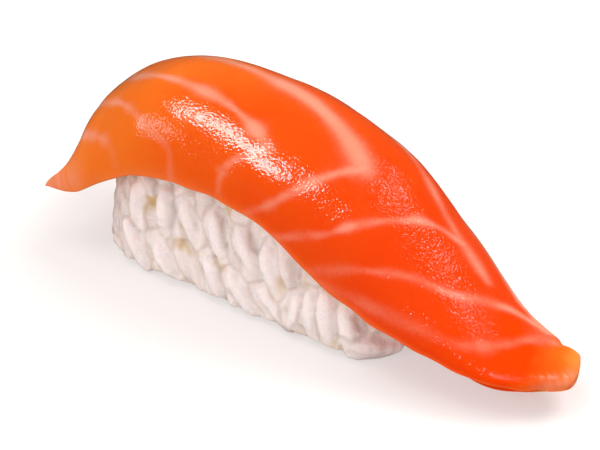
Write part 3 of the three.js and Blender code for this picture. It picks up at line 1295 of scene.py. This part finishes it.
    def build(self, finish: bpy.types.Material) -> bpy.types.Object:
        """Makes the rice.

        Args:
            finish: the rice's material.

        Returns:
            The new piece.
        """
        rng = np.random.default_rng(self.seed)
        ceiling = self._ceiling()
        grains = self._place(rng, ceiling)
        self._settle(grains, ceiling)
        shapes = [self._grain_mesh(bend) for bend in self.bends]
        bm = bmesh.new()
        for i, (middle, way) in enumerate(zip(grains.middle, grains.way)):
            first = len(bm.verts)
            bm.from_mesh(shapes[i % len(shapes)])
            bm.verts.ensure_lookup_table()
            lean = Vector((0, 0, 1)).rotation_difference(Vector(way)).to_matrix().to_4x4()
            turn = lean @ Matrix.Rotation(rng.uniform(0, 2 * math.pi), 4, "Z")
            size = Matrix.Diagonal((*rng.uniform(*self.girths, 2), rng.uniform(*self.lengths), 1))
            place = Matrix.Translation(middle) @ turn @ size
            bmesh.ops.transform(bm, matrix=place, verts=bm.verts[first:])
        shapes.append(self._core())
        bm.from_mesh(shapes[-1])
        for mesh in shapes:
            bpy.data.meshes.remove(mesh)
        self.piece = self._stuck_together(bm, finish)
        self._dress(grains)
        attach(self.piece, "root")
        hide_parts("rice_block")
        log.info("rice: %d grains, %d faces", len(grains.middle), len(self.piece.data.polygons))
        return self.piece


# --- The stage --------------------------------------------------------------------------------


@dataclass(frozen=True)
class Softbox:
    """A soft light with a rectangular face.

    Attributes:
        name: what it is called.
        turn: its direction round the nigiri, in degrees from straight in front towards +x.
        height: its direction above the floor, in degrees.
        distance: how far away it is, in metres.
        length: the longer side of its face, in metres.
        width: the shorter side.
        power: its output, in watts.
        faces_down: whether it hangs level, its longer side along x, rather than facing the nigiri.
        glints: whether it shows as a highlight in anything glossy.
        lights: whether it lights anything besides making highlights.
    """

    name: str
    turn: float
    height: float
    distance: float
    length: float
    width: float
    power: float
    faces_down: bool = False
    glints: bool = True
    lights: bool = True

    def build(self) -> None:
        """Hangs the light."""
        light = bpy.data.lights.new(self.name, "AREA")
        light.shape, light.energy = "RECTANGLE", self.power
        light.size, light.size_y = self.length, self.width
        lamp = bpy.data.objects.new(self.name, light)
        bpy.context.scene.collection.objects.link(lamp)
        away = direction(self.turn, self.height)
        lamp.location = away * self.distance
        lamp.visible_glossy, lamp.visible_diffuse = self.glints, self.lights
        if not self.faces_down:
            lamp.rotation_euler = away.to_track_quat("Z", "Y").to_euler()


def direction(turn: float, height: float) -> Vector:
    """Gives the unit vector at an angle round from straight in front and an angle above the floor."""
    turn, height = math.radians(turn), math.radians(height)
    level = math.cos(height)
    return Vector((math.sin(turn) * level, -math.cos(turn) * level, math.sin(height)))


@dataclass
class Studio:
    """The camera, the white table and soft studio light. Lengths are in metres, the lens's in millimetres.

    Fills light the nigiri without a highlight, and the strip softbox only makes one. Surroundings
    seen in gloss are dimmer, and the table isn't seen in it, so the flesh keeps its deep colour.
    """

    look_at: tuple = (-0.00352, 0.00016, 0.00943)
    turn: float = 36.7
    height: float = 34.0
    distance: float = 0.340
    lens: float = 145.3
    sensor: float = 36.0
    nearest: float = 0.01
    table_half_side: float = 1.2
    table_cells: int = 24
    surroundings: float = 0.56
    surroundings_in_gloss: float = 0.06
    white: str = "#ffffff"
    softboxes: tuple = (
        Softbox("overhead strip softbox", -67.0, 71.1, 0.637, 0.56, 0.17, 4.4, True, lights=False),
        Softbox("rear softbox", 154.0, 43.0, 0.60, 0.08, 0.08, 0.12),
        Softbox("rear fill", 150.0, 55.0, 0.70, 0.42, 0.42, 3.7, glints=False),
        Softbox("overhead fill", -40.0, 76.0, 0.70, 0.42, 0.42, 1.7, glints=False),
        Softbox("front fill", -12.0, 30.0, 0.70, 0.42, 0.42, 1.7, glints=False),
        Softbox("left softbox", -57.0, 30.0, 0.60, 0.14, 0.14, 0.25),
    )

    def set_camera(self) -> None:
        """Places the camera, looking down along the slice from its blunt end."""
        data = bpy.data.cameras.new("camera")
        data.lens, data.sensor_width, data.clip_start = self.lens, self.sensor, self.nearest
        camera = bpy.data.objects.new("camera", data)
        bpy.context.scene.collection.objects.link(camera)
        away = direction(self.turn, self.height)
        camera.location = Vector(self.look_at) + away * self.distance
        camera.rotation_euler = away.to_track_quat("Z", "Y").to_euler()
        bpy.context.scene.camera = camera

    def build(self) -> None:
        """Lays the table and lights it."""
        bm = bmesh.new()
        cells = self.table_cells
        bmesh.ops.create_grid(bm, x_segments=cells, y_segments=cells, size=self.table_half_side)
        table = finished_piece("table", bm, OpalTable().build())
        table.visible_glossy = False
        for softbox in self.softboxes:
            softbox.build()
        world = bpy.data.worlds.new("white surroundings")
        world.use_nodes = True
        tree = world.node_tree
        tree.nodes.clear()
        ray = add_node(tree, "LightPath").outputs["Is Glossy Ray"]
        shown, glossed = self.surroundings, self.surroundings_in_gloss
        level = add_node(tree, "MapRange", {"Value": ray, "To Min": shown, "To Max": glossed})
        glow = add_node(tree, "Background", {"Color": linear(self.white), "Strength": level})
        add_node(tree, "OutputWorld", {"Surface": glow})
        scene = bpy.context.scene
        scene.world = world
        scene.view_settings.view_transform = "Standard"
        log.info("studio: %d softboxes", len(self.softboxes))


def write_sizes() -> None:
    log.info("sizes written")


def main() -> None:
    """Builds the nigiri and its stage."""
    logging.basicConfig(level=logging.INFO, format="%(message)s")
    studio = Studio()
    studio.set_camera()
    block = PressedBlock()
    low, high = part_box("rice_block")
    middle = Vector(((low.x + high.x) / 2 - block.forward * MM, (low.y + high.y) / 2, 0))
    salmon = SalmonSlice(Drape(), middle).build(SalmonFlesh().build())
    RiceBlock(block, middle, salmon).build(CookedRice().build())
    studio.build()
    write_sizes()


if __name__ == "__main__":
    main()
